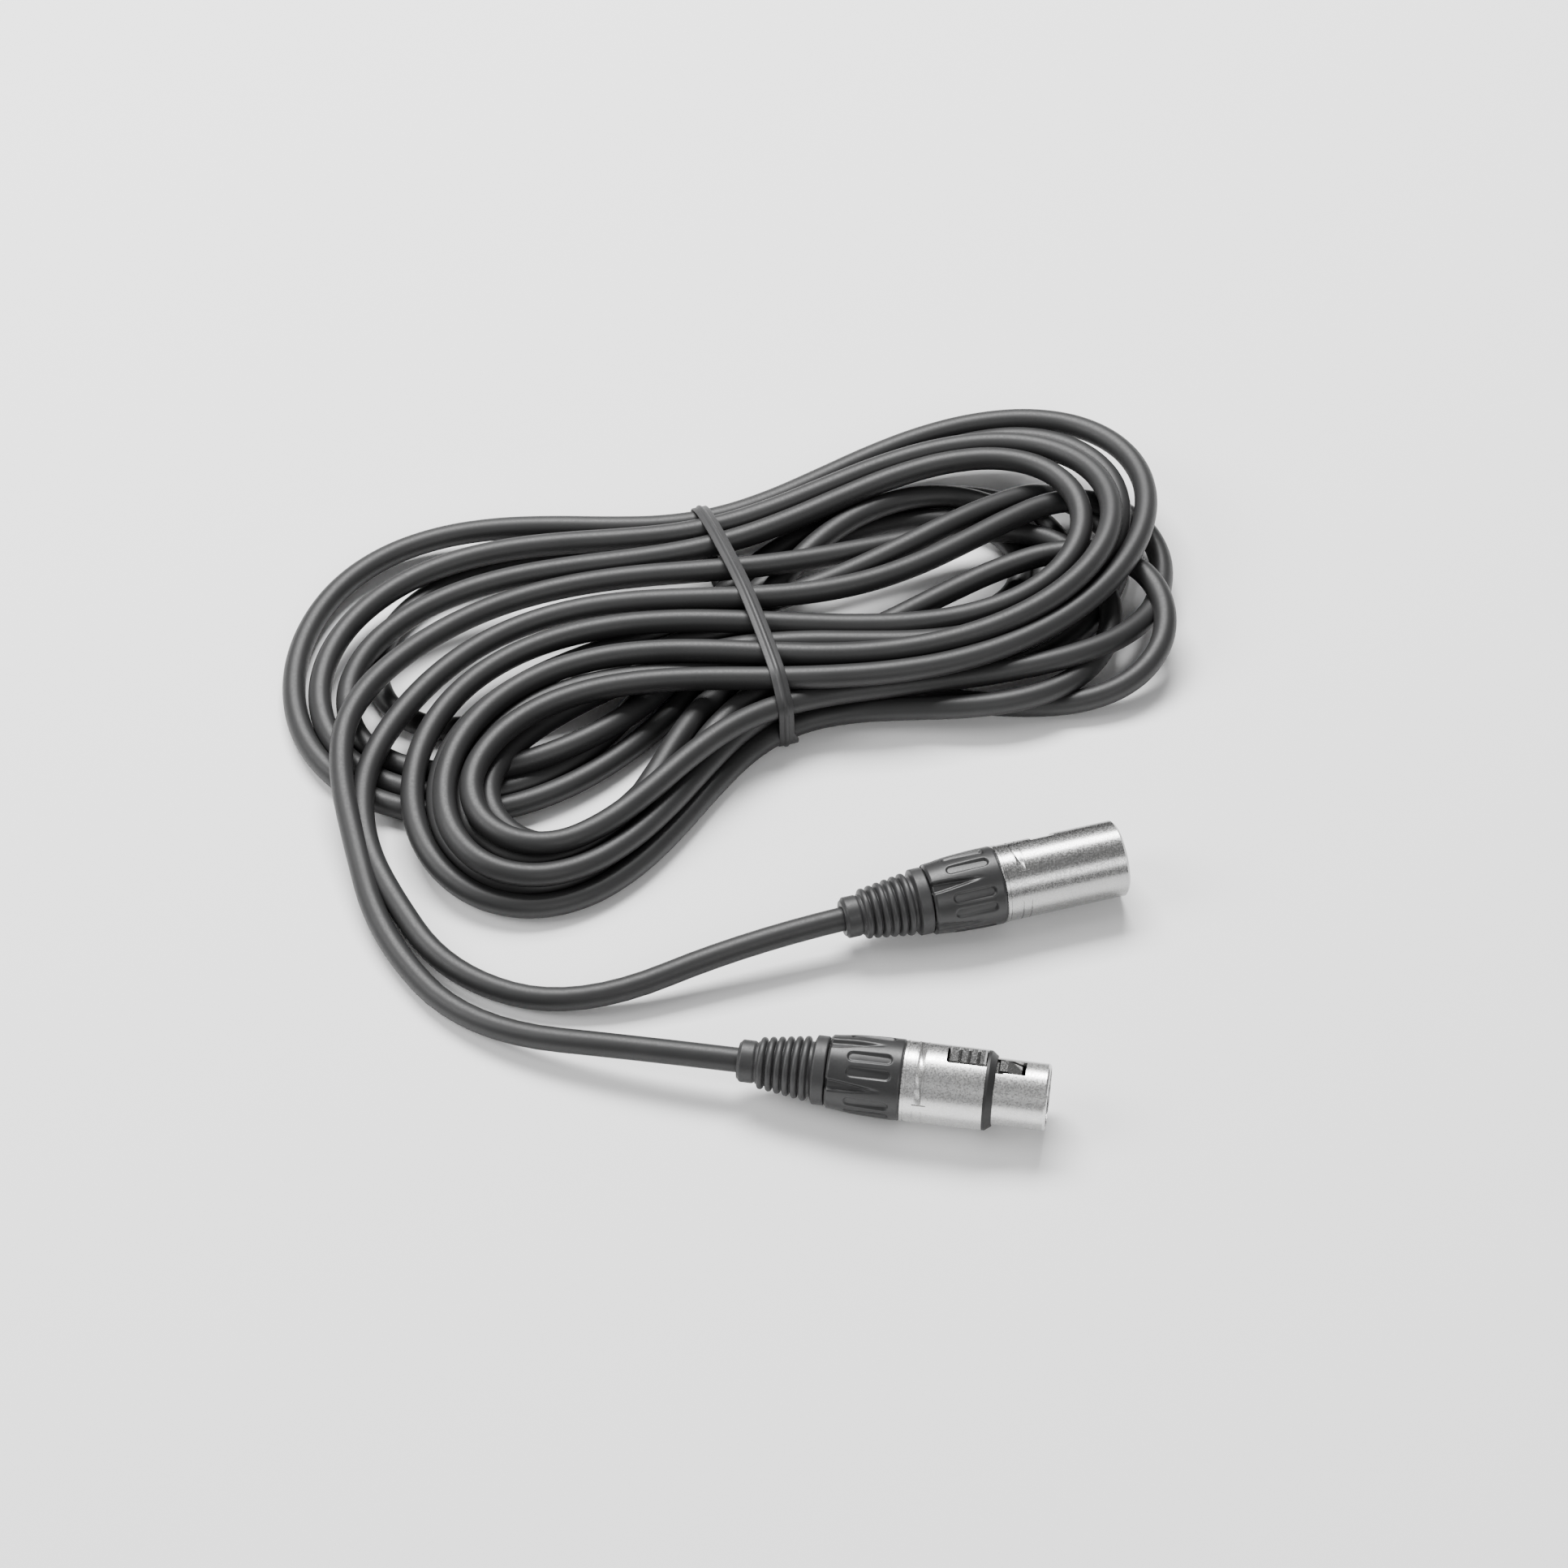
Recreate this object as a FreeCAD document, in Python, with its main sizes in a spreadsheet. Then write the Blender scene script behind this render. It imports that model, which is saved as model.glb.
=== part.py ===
import FreeCAD, Part
import math
import os
import Sketcher

# XLR microphone cable, wound into a hank and tied, with both plugs lying beside it.
# Units are mm and degrees. X runs along the hank, Y goes away from the plugs, Z is up.
# Each connector is drawn along its own X axis, from the rear of its boot to its mouth.

os.makedirs("parts", exist_ok=True)
doc = FreeCAD.newDocument("xlr_cable_coil")
V = FreeCAD.Vector

SIZES = {
    # cable
    "cord_dia": 6.0,
    # cable boots: rear collar, ribs, front collar
    "boot_collar_dia": 10.2,
    "boot_collar_len": 4.5,
    "rib_start": 5.0,
    "rib_pitch": 2.07,
    "rib_depth": 1.1,
    "rib_small_dia": 12.5,
    "rib_big_dia": 15.5,
    "boot_front_dia": 16.5,
    "boot_front_start": 17.9,
    "boot_len": 21.3,
    "boot_nose_len": 3.0,
    "boot_nose_dia": 11.0,
    # cable bushings
    "bushing_gap": 0.3,
    "bushing_len": 17.9,
    "bushing_rear_dia": 17.6,
    "bushing_mid_dia": 18.9,
    "bushing_dia": 19.4,
    "bushing_bore_dia": 13.0,
    "thread_len": 6.0,
    "thread_dia": 15.2,
    "flute_depth": 0.7,
    "flute_width": 2.2,
    "flute_len": 9.5,
    "slot_depth": 0.55,
    "slot_width": 3.0,
    "slot_len": 7.0,
    "slot_front": 2.3,
    "flute_count": 5,
    # cable chucks
    "chuck_dia": 12.6,
    "chuck_len": 12.0,
    "chuck_tail_dia": 9.0,
    # male shell
    "shell_dia": 19.0,
    "male_shell_len": 31.5,
    "lip_len": 0.8,
    "lip_dia": 19.25,
    "mouth_dia": 16.2,
    "mouth_depth": 16.5,
    "insert_seat_dia": 15.0,
    "recess_start": 10.0,
    "recess_len": 6.0,
    "recess_width": 8.0,
    "recess_depth": 0.5,
    "line_first": 3.7,
    "female_line_first": 3.0,
    "line_step": 2.1,
    "line_width": 0.4,
    "line_depth": 0.25,
    # contacts
    "pin_dia": 2.4,
    "pin_root_dia": 2.8,
    "pin_out": 14.5,
    "pin_cup_dia": 3.0,
    "pin_cup_len": 5.0,
    "pin_spread": 3.81,
    "pin_three_drop": 3.35,
    # male insert
    "male_insert_len": 9.0,
    # female shell
    "female_dia": 19.2,
    "female_body_len": 19.6,
    "ring_len": 2.2,
    "ring_seat_dia": 15.4,
    "seat_gap": 0.02,
    "ring_step_dia": 16.4,
    "nose_dia": 16.0,
    "nose_len": 12.7,
    "nose_bore_dia": 14.2,
    "insert_sunk": 0.8,
    "female_insert_len": 24.5,
    "socket_dia": 3.6,
    "socket_bore_dia": 2.5,
    "socket_len": 14.0,
    "key_width": 0.8,
    "key_depth": 0.6,
    # latch
    "button_width": 5.0,
    "button_len": 9.6,
    "button_slot_width": 5.4,
    "button_gap": 0.45,
    "slot_corner": 0.4,
    "button_proud": 0.25,
    "window_width": 4.8,
    "window_len": 7.0,
    "hook_width": 4.0,
    "hook_len": 5.4,
    "latch_pin_dia": 1.2,
    "latch_pin_len": 6.4,
    # where the connectors lie
    "male_x": 26.4,
    "male_y": -50.77,
    "male_high": 9.7,
    "male_yaw": 16.0,
    "male_roll": -49.0,
    "female_x": 1.4,
    "female_y": -94.57,
    "female_high": 9.75,
    "female_yaw": -8.7,
    "female_roll": -13.0,
    # hank, and how far its own drawing is moved
    "hank_x": 12.2,
    "hank_y": 1.63,
    "left_high": 19.0,
    "waist_low": 1.4,
    "waist_high": 17.5,
    "right_low_high": 16.0,
    "right_mid_high": 24.0,
    "right_high": 29.0,
    # tie
    "tie_width": 4.0,
    "tie_thick": 1.0,
    "tie_low": 0.2,
}

sheet = doc.addObject("Spreadsheet::Sheet", "Sheet")
for row, (alias, value) in enumerate(SIZES.items(), start=1):
    sheet.set("A%d" % row, alias)
    sheet.set("B%d" % row, str(value))
    sheet.setAlias("B%d" % row, alias)
doc.recompute()
S = {name: float(sheet.get(name)) for name in SIZES}


def sized(text):
    """An expression on the sheet's names, with Sheet. put before each."""
    out = []
    word = ""
    for ch in text + " ":
        if ch.isalnum() or ch == "_":
            word += ch
            continue
        out.append("Sheet." + word if word in S else word)
        word = ""
        out.append(ch)
    return "".join(out).strip()


def value_of(obj, text):
    return float(obj.evalExpression(sized(text)))


def new_body(label):
    body = doc.addObject("PartDesign::Body", label)
    body.Label = label
    return body


def plane(body, role):
    return next(f for f in body.Origin.OriginFeatures if f.Role == role)


def new_sketch(body, name, role, turn=0.0, lift=None):
    """A sketch on one of the body's planes, turned about X and lifted along its normal."""
    sketch = body.newObject("Sketcher::SketchObject", name)
    sketch.AttachmentSupport = [(plane(body, role), "")]
    sketch.MapMode = "FlatFace"
    if turn or lift:
        high = value_of(sketch, lift) if lift else 0.0
        rot = FreeCAD.Rotation(V(1, 0, 0), turn)
        sketch.AttachmentOffset = FreeCAD.Placement(rot.multVec(V(0, 0, high)), rot)
        if lift and not turn:
            sketch.setExpression("AttachmentOffset.Base.z", sized(lift))
    return sketch


def outline(sketch, points):
    """A closed polygon whose corners are placed by expressions (x, y)."""
    first = sketch.GeometryCount
    spots = [V(value_of(sketch, x), value_of(sketch, y), 0) for x, y in points]
    count = len(spots)
    for i in range(count):
        sketch.addGeometry(Part.LineSegment(spots[i], spots[(i + 1) % count]), False)
    for i in range(count):
        sketch.addConstraint(
            Sketcher.Constraint("Coincident", first + i, 2, first + (i + 1) % count, 1)
        )
    for i, (x, y) in enumerate(points):
        for kind, axis, text, number in (
            ("DistanceX", -2, x, spots[i].x),
            ("DistanceY", -1, y, spots[i].y),
        ):
            if abs(number) < 1e-9:
                sketch.addConstraint(Sketcher.Constraint("PointOnObject", first + i, 1, axis))
                continue
            low, high = ((-1, 1), (first + i, 1)) if number > 0 else ((first + i, 1), (-1, 1))
            at = sketch.addConstraint(Sketcher.Constraint(kind, *low, *high, abs(number)))
            sketch.setExpression("Constraints[%d]" % at, sized(text if number > 0 else "-(%s)" % text))
    return first


def turned(label, points, angle=360.0):
    """A body turned about its X axis from the (along, radius) points."""
    body = new_body(label)
    sketch = new_sketch(body, label + "_profile", "XY_Plane")
    outline(sketch, points)
    feature = body.newObject("PartDesign::Revolution", label + "_turned")
    feature.Profile = sketch
    feature.ReferenceAxis = (sketch, ["H_Axis"])
    feature.Angle = angle
    body.Tip = feature
    doc.recompute()
    return body


def volume(body):
    doc.recompute()
    return body.Shape.Volume


def cut(body, name, points, lift, depth, turn=0.0):
    """A pocket that starts at this height above the axis and goes outwards."""
    before = volume(body)
    sketch = new_sketch(body, name + "_outline", "XY_Plane", turn, lift)
    outline(sketch, points)
    feature = body.newObject("PartDesign::Pocket", name)
    feature.Profile = sketch
    feature.Length = value_of(sketch, depth)
    feature.setExpression("Length", sized(depth))
    feature.Reversed = True
    body.Tip = feature
    if volume(body) > before - 0.01:
        raise RuntimeError(name + " removed nothing")
    return feature


def engrave(body, name, radius, first, arcs, tick_turn):
    """Two fine lines part of the way round a shell, joined by a short line along it."""
    for number in range(2):
        at = SHELL_REAR + " + " + first + " + %d*line_step" % number
        for piece, (turn, sweep) in enumerate(arcs):
            title = "%s%d_%d" % (name, number, piece)
            sketch = new_sketch(body, title + "_outline", "XY_Plane", turn=turn)
            outline(
                sketch,
                [
                    (at, radius + " - line_depth"),
                    (at + " + line_width", radius + " - line_depth"),
                    (at + " + line_width", radius + " + 1"),
                    (at, radius + " + 1"),
                ],
            )
            before = volume(body)
            groove = body.newObject("PartDesign::Groove", title)
            groove.Profile = sketch
            groove.ReferenceAxis = (sketch, ["H_Axis"])
            groove.Angle = sweep
            body.Tip = groove
            if volume(body) > before - 0.01:
                raise RuntimeError(title + " cut nothing")
    start = SHELL_REAR + " + " + first
    end = start + " + line_step + 3*line_width"
    cut(
        body,
        name + "_tick",
        [
            (start, "-line_width/2"),
            (end, "-line_width/2"),
            (end, "line_width/2"),
            (start, "line_width/2"),
        ],
        turn=tick_turn,
        lift=radius + " - line_depth",
        depth="3",
    )


def around(body, name, features, count):
    """Repeats the features around the body's X axis."""
    before = volume(body)
    pattern = body.newObject("PartDesign::PolarPattern", name)
    pattern.Originals = features
    pattern.Axis = (next(f for f in body.Origin.OriginFeatures if f.Role == "X_Axis"), [""])
    pattern.Angle = 360
    pattern.Occurrences = int(S[count])
    pattern.setExpression("Occurrences", "Sheet." + count)
    body.Tip = pattern
    if volume(body) > before - 0.01:
        raise RuntimeError(name + " removed nothing")
    return pattern


def rounded(body, name, size, pick):
    """Fillets the edges that pick chooses."""
    doc.recompute()
    names = ["Edge%d" % i for i, e in enumerate(body.Tip.Shape.Edges, start=1) if pick(e)]
    if not names:
        raise RuntimeError(name + " found no edge")
    fillet = body.newObject("PartDesign::Fillet", name)
    fillet.Base = (body.Tip, names)
    fillet.Radius = size
    body.Tip = fillet
    doc.recompute()
    return fillet


def ring_edge(x, radius, slack=0.02):
    """True for a round edge centred on the X axis at x with this radius."""

    def pick(edge):
        curve = edge.Curve
        if not isinstance(curve, Part.Circle):
            return False
        return abs(curve.Center.x - x) < slack and abs(curve.Radius - radius) < slack

    return pick


def lay(body, which):
    """Puts a connector piece where its connector lies."""
    body.Placement = FreeCAD.Placement(
        V(S[which + "_x"], S[which + "_y"], S[which + "_high"]),
        FreeCAD.Rotation(V(0, 0, 1), S[which + "_yaw"])
        * FreeCAD.Rotation(V(1, 0, 0), S[which + "_roll"]),
    )
    for axis, size in (("x", "_x"), ("y", "_y"), ("z", "_high")):
        body.setExpression("Placement.Base." + axis, "Sheet." + which + size)


RIBS = 6


def make_boot(which):
    label = which + "_boot"
    points = [("0", "cord_dia/2"), ("0", "boot_collar_dia/2 - 0.9"), ("0.3", "boot_collar_dia/2 - 0.35")]
    points += [("0.9", "boot_collar_dia/2"), ("boot_collar_len", "boot_collar_dia/2")]
    for i in range(RIBS):
        at = "rib_start + %d*rib_pitch" % i
        radius = "(rib_small_dia + (rib_big_dia - rib_small_dia)*%d/%d)/2" % (i, RIBS - 1)
        if i:
            points.append((at + " - 0.15", radius + " - rib_depth"))
        points.append((at + " + 0.2", radius + " - 0.25"))
        points.append((at + " + 0.45", radius))
        points.append((at + " + 1.05", radius))
        points.append((at + " + 1.3", radius + " - 0.25"))
        points.append((at + " + 1.55", radius + " - rib_depth"))
    points.append(("boot_front_start", "boot_front_dia/2 - 0.9"))
    points.append(("boot_front_start + 0.4", "boot_front_dia/2"))
    points.append(("boot_len", "boot_front_dia/2"))
    points.append(("boot_len", "boot_nose_dia/2"))
    points.append(("boot_len + boot_nose_len", "boot_nose_dia/2"))
    points.append(("boot_len + boot_nose_len", "cord_dia/2"))
    body = turned(label, points)
    lay(body, which)
    return body


BUSHING_REAR = "boot_len + bushing_gap"
BUSHING_FRONT = BUSHING_REAR + " + bushing_len"


def make_bushing(which):
    label = which + "_bushing"
    points = [
        (BUSHING_REAR, "boot_nose_dia/2"),
        (BUSHING_REAR, "bushing_rear_dia/2 - 0.5"),
        (BUSHING_REAR + " + 0.5", "bushing_rear_dia/2"),
        (BUSHING_REAR + " + bushing_len*0.45", "bushing_mid_dia/2"),
        (BUSHING_REAR + " + bushing_len*0.75", "bushing_dia/2"),
        (BUSHING_FRONT + " - 0.5", "bushing_dia/2"),
        (BUSHING_FRONT, "bushing_dia/2 - 0.3"),
        (BUSHING_FRONT, "thread_dia/2"),
        (BUSHING_FRONT + " + thread_len", "thread_dia/2"),
        (BUSHING_FRONT + " + thread_len", "bushing_bore_dia/2"),
        (BUSHING_REAR + " + boot_nose_len", "bushing_bore_dia/2"),
        (BUSHING_REAR + " + boot_nose_len", "boot_nose_dia/2"),
    ]
    body = turned(label, points)
    start = BUSHING_REAR + " - 0.5"
    end = BUSHING_REAR + " + flute_len"
    flute = cut(
        body,
        label + "_flute",
        [
            (start, "-flute_width/2"),
            (end + " - 2.5", "-flute_width*0.45"),
            (end, "-flute_width*0.12"),
            (end, "flute_width*0.12"),
            (end + " - 2.5", "flute_width*0.45"),
            (start, "flute_width/2"),
        ],
        lift="bushing_mid_dia/2 - flute_depth",
        depth="4",
    )
    around(body, label + "_flutes", [flute], "flute_count")
    front = BUSHING_FRONT + " - slot_front"
    back = BUSHING_FRONT + " - slot_front - slot_len"
    for number, turn in enumerate((24.0, 48.0)):
        slot = cut(
            body,
            label + "_slot%d" % number,
            [
                (back + " + 0.9", "-slot_width/2"),
                (front + " - 0.9", "-slot_width/2"),
                (front + " - 0.25", "-slot_width*0.4"),
                (front, "-slot_width*0.2"),
                (front, "slot_width*0.2"),
                (front + " - 0.25", "slot_width*0.4"),
                (front + " - 0.9", "slot_width/2"),
                (back + " + 0.9", "slot_width/2"),
                (back + " + 0.25", "slot_width*0.4"),
                (back, "slot_width*0.2"),
                (back, "-slot_width*0.2"),
                (back + " + 0.25", "-slot_width*0.4"),
            ],
            turn=turn,
            lift="bushing_dia/2 - slot_depth",
            depth="3",
        )
        around(body, label + "_slots%d" % number, [slot], "flute_count")
    lay(body, which)
    return body


def make_chuck(which):
    label = which + "_chuck"
    start = BUSHING_REAR + " + boot_nose_len + 0.2"
    points = [
        (start, "cord_dia/2"),
        (start, "chuck_tail_dia/2"),
        (start + " + 2", "chuck_dia/2"),
        (start + " + chuck_len", "chuck_dia/2"),
        (start + " + chuck_len", "cord_dia/2"),
    ]
    body = turned(label, points)
    before = volume(body)
    cut(
        body,
        label + "_split",
        [
            (start + " - 1", "-0.5"),
            (start + " + chuck_len*0.7", "-0.5"),
            (start + " + chuck_len*0.7", "0.5"),
            (start + " - 1", "0.5"),
        ],
        lift="cord_dia/2 + 0.01",
        depth="10",
    )
    if volume(body) >= before:
        raise RuntimeError("the chuck has no split")
    lay(body, which)
    return body


def contact_spots():
    """The three contacts' places across the connector, as (y, z) expressions."""
    return [("pin_spread", "1.6"), ("-pin_spread", "1.6"), ("0", "-pin_three_drop")]


def make_contact(label, which, spot, mirror, points):
    """A contact turned about its own axis, then moved to its place in the connector."""
    body = turned(label, points)
    y, z = value_of(body, spot[0]) * mirror, value_of(body, spot[1])
    lay(body, which)
    body.setExpression("Placement.Base.x", None)
    body.setExpression("Placement.Base.y", None)
    body.setExpression("Placement.Base.z", None)
    body.Placement = body.Placement * FreeCAD.Placement(V(0, y, z), FreeCAD.Rotation())
    return body


SHELL_REAR = BUSHING_FRONT
MALE_MOUTH = SHELL_REAR + " + male_shell_len"
MALE_FACE = MALE_MOUTH + " - mouth_depth"
MALE_BACK = MALE_FACE + " - male_insert_len"


def make_male_shell():
    label = "male_shell"
    points = [
        (SHELL_REAR, "thread_dia/2"),
        (SHELL_REAR, "lip_dia/2 - 0.2"),
        (SHELL_REAR + " + 0.2", "lip_dia/2"),
        (SHELL_REAR + " + lip_len", "lip_dia/2"),
        (SHELL_REAR + " + lip_len", "shell_dia/2 - 0.2"),
        (SHELL_REAR + " + lip_len + 0.25", "shell_dia/2 - 0.2"),
        (SHELL_REAR + " + lip_len + 0.25", "shell_dia/2"),
        (MALE_MOUTH + " - 0.6", "shell_dia/2"),
        (MALE_MOUTH, "shell_dia/2 - 0.6"),
        (MALE_MOUTH, "mouth_dia/2 + 0.3"),
        (MALE_MOUTH + " - 0.3", "mouth_dia/2"),
        (MALE_FACE, "mouth_dia/2"),
        (MALE_FACE, "insert_seat_dia/2"),
        (SHELL_REAR + " + thread_len", "insert_seat_dia/2"),
        (SHELL_REAR + " + thread_len", "thread_dia/2"),
    ]
    body = turned(label, points)
    start = SHELL_REAR + " + recess_start"
    end = start + " + recess_len"
    cut(
        body,
        label + "_recess",
        [
            (start, "-recess_width/2"),
            (end, "-recess_width/2"),
            (end, "recess_width/2"),
            (start, "recess_width/2"),
        ],
        lift="shell_dia/2 - recess_depth",
        depth="3",
    )
    engrave(body, "shell_line", "shell_dia/2", "line_first", [(79.0, 88.0), (212.0, 58.0)], 77.0)
    lay(body, "male")
    return body


def make_male_insert():
    body = turned(
        "male_insert",
        [
            (MALE_BACK, "0"),
            (MALE_BACK, "insert_seat_dia/2 - seat_gap"),
            (MALE_FACE, "insert_seat_dia/2 - seat_gap"),
            (MALE_FACE, "0"),
        ],
    )
    drill_contacts(body, "male_insert", 1.0, "pin_root_dia/2")
    lay(body, "male")
    return body


def drill_contacts(body, label, mirror, radius):
    """Three round holes along the connector, one for each contact."""
    sketch = new_sketch(body, label + "_holes_outline", "YZ_Plane")
    for y, z in contact_spots():
        across, up = value_of(body, y) * mirror, value_of(body, z)
        size = value_of(body, radius)
        at = sketch.addGeometry(Part.Circle(V(across, up, 0), V(0, 0, 1), size), False)
        number = sketch.addConstraint(Sketcher.Constraint("Radius", at, size))
        sketch.setExpression("Constraints[%d]" % number, sized(radius))
        for kind, distance, text in (("DistanceX", across, y), ("DistanceY", up, z)):
            if abs(distance) < 1e-9:
                axis = -2 if kind == "DistanceX" else -1
                sketch.addConstraint(Sketcher.Constraint("PointOnObject", at, 3, axis))
                continue
            ends = (-1, 1, at, 3) if distance > 0 else (at, 3, -1, 1)
            number = sketch.addConstraint(Sketcher.Constraint(kind, *ends, abs(distance)))
            plain = text.replace("-", "")
            sketch.setExpression("Constraints[%d]" % number, sized(plain))
    before = volume(body)
    feature = body.newObject("PartDesign::Pocket", label + "_holes")
    feature.Profile = sketch
    feature.Type = "ThroughAll"
    feature.Midplane = True
    body.Tip = feature
    if volume(body) > before - 0.01:
        raise RuntimeError(label + " has no contact holes")


def make_male_pins():
    cup = MALE_BACK + " - pin_cup_len"
    tip = MALE_FACE + " + pin_out"
    points = [
        (cup, "0"),
        (cup, "pin_cup_dia/2"),
        (MALE_BACK, "pin_cup_dia/2"),
        (MALE_BACK, "pin_root_dia/2"),
        (MALE_FACE, "pin_root_dia/2"),
        (MALE_FACE, "pin_dia/2"),
        (tip + " - 0.8", "pin_dia/2"),
        (tip + " - 0.25", "pin_dia/2 - 0.35"),
        (tip, "pin_dia/2 - 0.85"),
        (tip, "0"),
    ]
    for number, spot in enumerate(contact_spots(), start=1):
        make_contact("male_pin_%d" % number, "male", spot, 1.0, points)


FEMALE_STEP = SHELL_REAR + " + female_body_len"
NOSE_START = FEMALE_STEP + " + ring_len"
NOSE_END = NOSE_START + " + nose_len"
FEMALE_FACE = NOSE_END + " - insert_sunk"
FEMALE_BACK = FEMALE_FACE + " - female_insert_len"
BUTTON_REAR = FEMALE_STEP + " - button_len"


def make_female_shell():
    label = "female_shell"
    points = [
        (SHELL_REAR, "thread_dia/2"),
        (SHELL_REAR, "lip_dia/2 - 0.2"),
        (SHELL_REAR + " + 0.2", "lip_dia/2 + 0.05"),
        (SHELL_REAR + " + lip_len", "lip_dia/2 + 0.05"),
        (SHELL_REAR + " + lip_len", "female_dia/2 - 0.2"),
        (SHELL_REAR + " + lip_len + 0.25", "female_dia/2 - 0.2"),
        (SHELL_REAR + " + lip_len + 0.25", "female_dia/2"),
        (FEMALE_STEP, "female_dia/2"),
        (FEMALE_STEP, "ring_seat_dia/2"),
        (NOSE_START, "ring_seat_dia/2"),
        (NOSE_START, "nose_dia/2"),
        (NOSE_END + " - 0.6", "nose_dia/2"),
        (NOSE_END + " - 0.15", "nose_dia/2 - 0.25"),
        (NOSE_END, "nose_dia/2 - 0.55"),
        (NOSE_END, "nose_bore_dia/2"),
        (SHELL_REAR + " + thread_len", "nose_bore_dia/2"),
        (SHELL_REAR + " + thread_len", "thread_dia/2"),
    ]
    body = turned(label, points)
    cut(
        body,
        label + "_button_slot",
        [
            (BUTTON_REAR + " + slot_corner", "-button_slot_width/2"),
            (FEMALE_STEP + " + 4", "-button_slot_width/2"),
            (FEMALE_STEP + " + 4", "button_slot_width/2"),
            (BUTTON_REAR + " + slot_corner", "button_slot_width/2"),
            (BUTTON_REAR, "button_slot_width/2 - slot_corner"),
            (BUTTON_REAR, "-button_slot_width/2 + slot_corner"),
        ],
        lift="2",
        depth="12",
    )
    cut(
        body,
        label + "_window",
        [
            (FEMALE_STEP, "-window_width/2"),
            (NOSE_START + " + window_len", "-window_width/2"),
            (NOSE_START + " + window_len", "window_width/2"),
            (FEMALE_STEP, "window_width/2"),
        ],
        lift="2",
        depth="12",
    )
    cut(
        body,
        label + "_key",
        [
            (NOSE_START, "-key_width/2"),
            (NOSE_END + " + 1", "-key_width/2"),
            (NOSE_END + " + 1", "key_width/2"),
            (NOSE_START, "key_width/2"),
        ],
        turn=51.0,
        lift="nose_dia/2 - key_depth",
        depth="5",
    )
    engrave(
        body, "female_line", "female_dia/2", "female_line_first", [(54.0, 122.0), (187.0, 47.0)], 86.0
    )
    lay(body, "female")
    return body


def make_female_ring():
    body = turned(
        "female_ring",
        [
            (FEMALE_STEP, "ring_seat_dia/2 + seat_gap"),
            (FEMALE_STEP, "female_dia/2 - 0.1"),
            (FEMALE_STEP + " + 0.7", "female_dia/2 - 0.1"),
            (NOSE_START, "ring_step_dia/2 + 0.2"),
            (NOSE_START, "ring_seat_dia/2 + seat_gap"),
        ],
    )
    lay(body, "female")
    return body


def make_female_insert():
    body = turned(
        "female_insert",
        [
            (FEMALE_BACK, "0"),
            (FEMALE_BACK, "nose_bore_dia/2 - seat_gap"),
            (FEMALE_FACE, "nose_bore_dia/2 - seat_gap"),
            (FEMALE_FACE, "0"),
        ],
    )
    drill_contacts(body, "female_insert", -1.0, "socket_dia/2")
    cut(
        body,
        "female_insert_channel",
        [
            (FEMALE_BACK + " - 1", "-window_width/2"),
            (NOSE_START + " + window_len", "-window_width/2"),
            (NOSE_START + " + window_len", "window_width/2"),
            (FEMALE_BACK + " - 1", "window_width/2"),
        ],
        lift=CHANNEL_FLOOR,
        depth="8",
    )
    pivot_hole(body, "female_insert_pivot", "latch_pin_dia/2")
    lay(body, "female")
    return body


def make_female_sockets():
    tail = FEMALE_FACE + " - socket_len - pin_cup_len"
    points = [
        (tail, "0"),
        (tail, "pin_cup_dia/2"),
        (FEMALE_FACE + " - socket_len - 1", "pin_cup_dia/2"),
        (FEMALE_FACE + " - socket_len - 1", "socket_dia/2"),
        (FEMALE_FACE, "socket_dia/2"),
        (FEMALE_FACE, "socket_bore_dia/2"),
        (FEMALE_FACE + " - socket_len", "socket_bore_dia/2"),
        (FEMALE_FACE + " - socket_len", "0"),
    ]
    for number, spot in enumerate(contact_spots(), start=1):
        make_contact("female_socket_%d" % number, "female", spot, -1.0, points)


PIVOT_X = BUTTON_REAR + " + 1.3"
PIVOT_Z = "5.6"
CHANNEL_FLOOR = "4.4"


def pivot_circle(body, name, radius):
    """A sketch of one circle on the latch's pivot, seen from the side."""
    sketch = new_sketch(body, name, "XZ_Plane")
    size = value_of(body, radius)
    centre = V(value_of(body, PIVOT_X), value_of(body, PIVOT_Z), 0)
    at = sketch.addGeometry(Part.Circle(centre, V(0, 0, 1), size), False)
    for text, constraint in (
        (radius, Sketcher.Constraint("Radius", at, size)),
        (PIVOT_X, Sketcher.Constraint("DistanceX", -1, 1, at, 3, centre.x)),
        (PIVOT_Z, Sketcher.Constraint("DistanceY", -1, 1, at, 3, centre.y)),
    ):
        number = sketch.addConstraint(constraint)
        sketch.setExpression("Constraints[%d]" % number, sized(text))
    return sketch


def pivot_hole(body, name, radius):
    """A hole through the piece at the latch's pivot."""
    before = volume(body)
    bore = body.newObject("PartDesign::Pocket", name)
    bore.Profile = pivot_circle(body, name + "_outline", radius)
    bore.Type = "ThroughAll"
    bore.Midplane = True
    body.Tip = bore
    if volume(body) > before - 0.001:
        raise RuntimeError(name + " removed nothing")


def side_pad(body, name, profile, width):
    """Pads a side profile to equal widths on both sides of the connector's middle."""
    pad = body.newObject("PartDesign::Pad", name)
    pad.Profile = profile
    pad.Length = value_of(body, width)
    pad.setExpression("Length", sized(width))
    pad.Midplane = True
    body.Tip = pad
    doc.recompute()


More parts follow.
